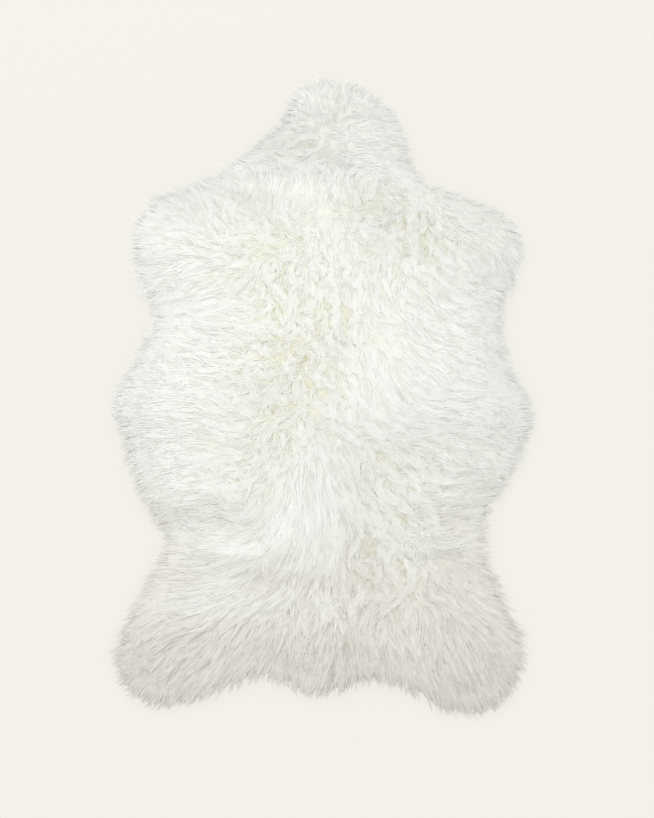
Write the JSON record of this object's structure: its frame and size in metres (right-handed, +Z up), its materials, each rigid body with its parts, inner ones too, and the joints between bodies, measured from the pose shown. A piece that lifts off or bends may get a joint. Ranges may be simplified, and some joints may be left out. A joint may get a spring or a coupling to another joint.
{
  "type": "sheepskin rug",
  "caption": "Long-haired natural sheepskin rug, a whole pelt in its own outline with neck, shoulders, flanks and hind legs, lying flat with the wool up.",
  "frame": {"origin": "middle of the rug's box on the floor under it", "axes": "+Y runs along the back from the rump to the neck, the rug's length; +X runs to the right flank as seen from above with the neck up; +Z is up, out of the wool"},
  "size_m": [0.6872, 1.0406, 0.0621],
  "materials": {
    "fleece": "long silky wool, creamy white",
    "hide": "suede, the tanned flesh side"
  },
  "bodies": {
    "root": {"sheepskin": "fleece"}
  },
  "joints": []
}
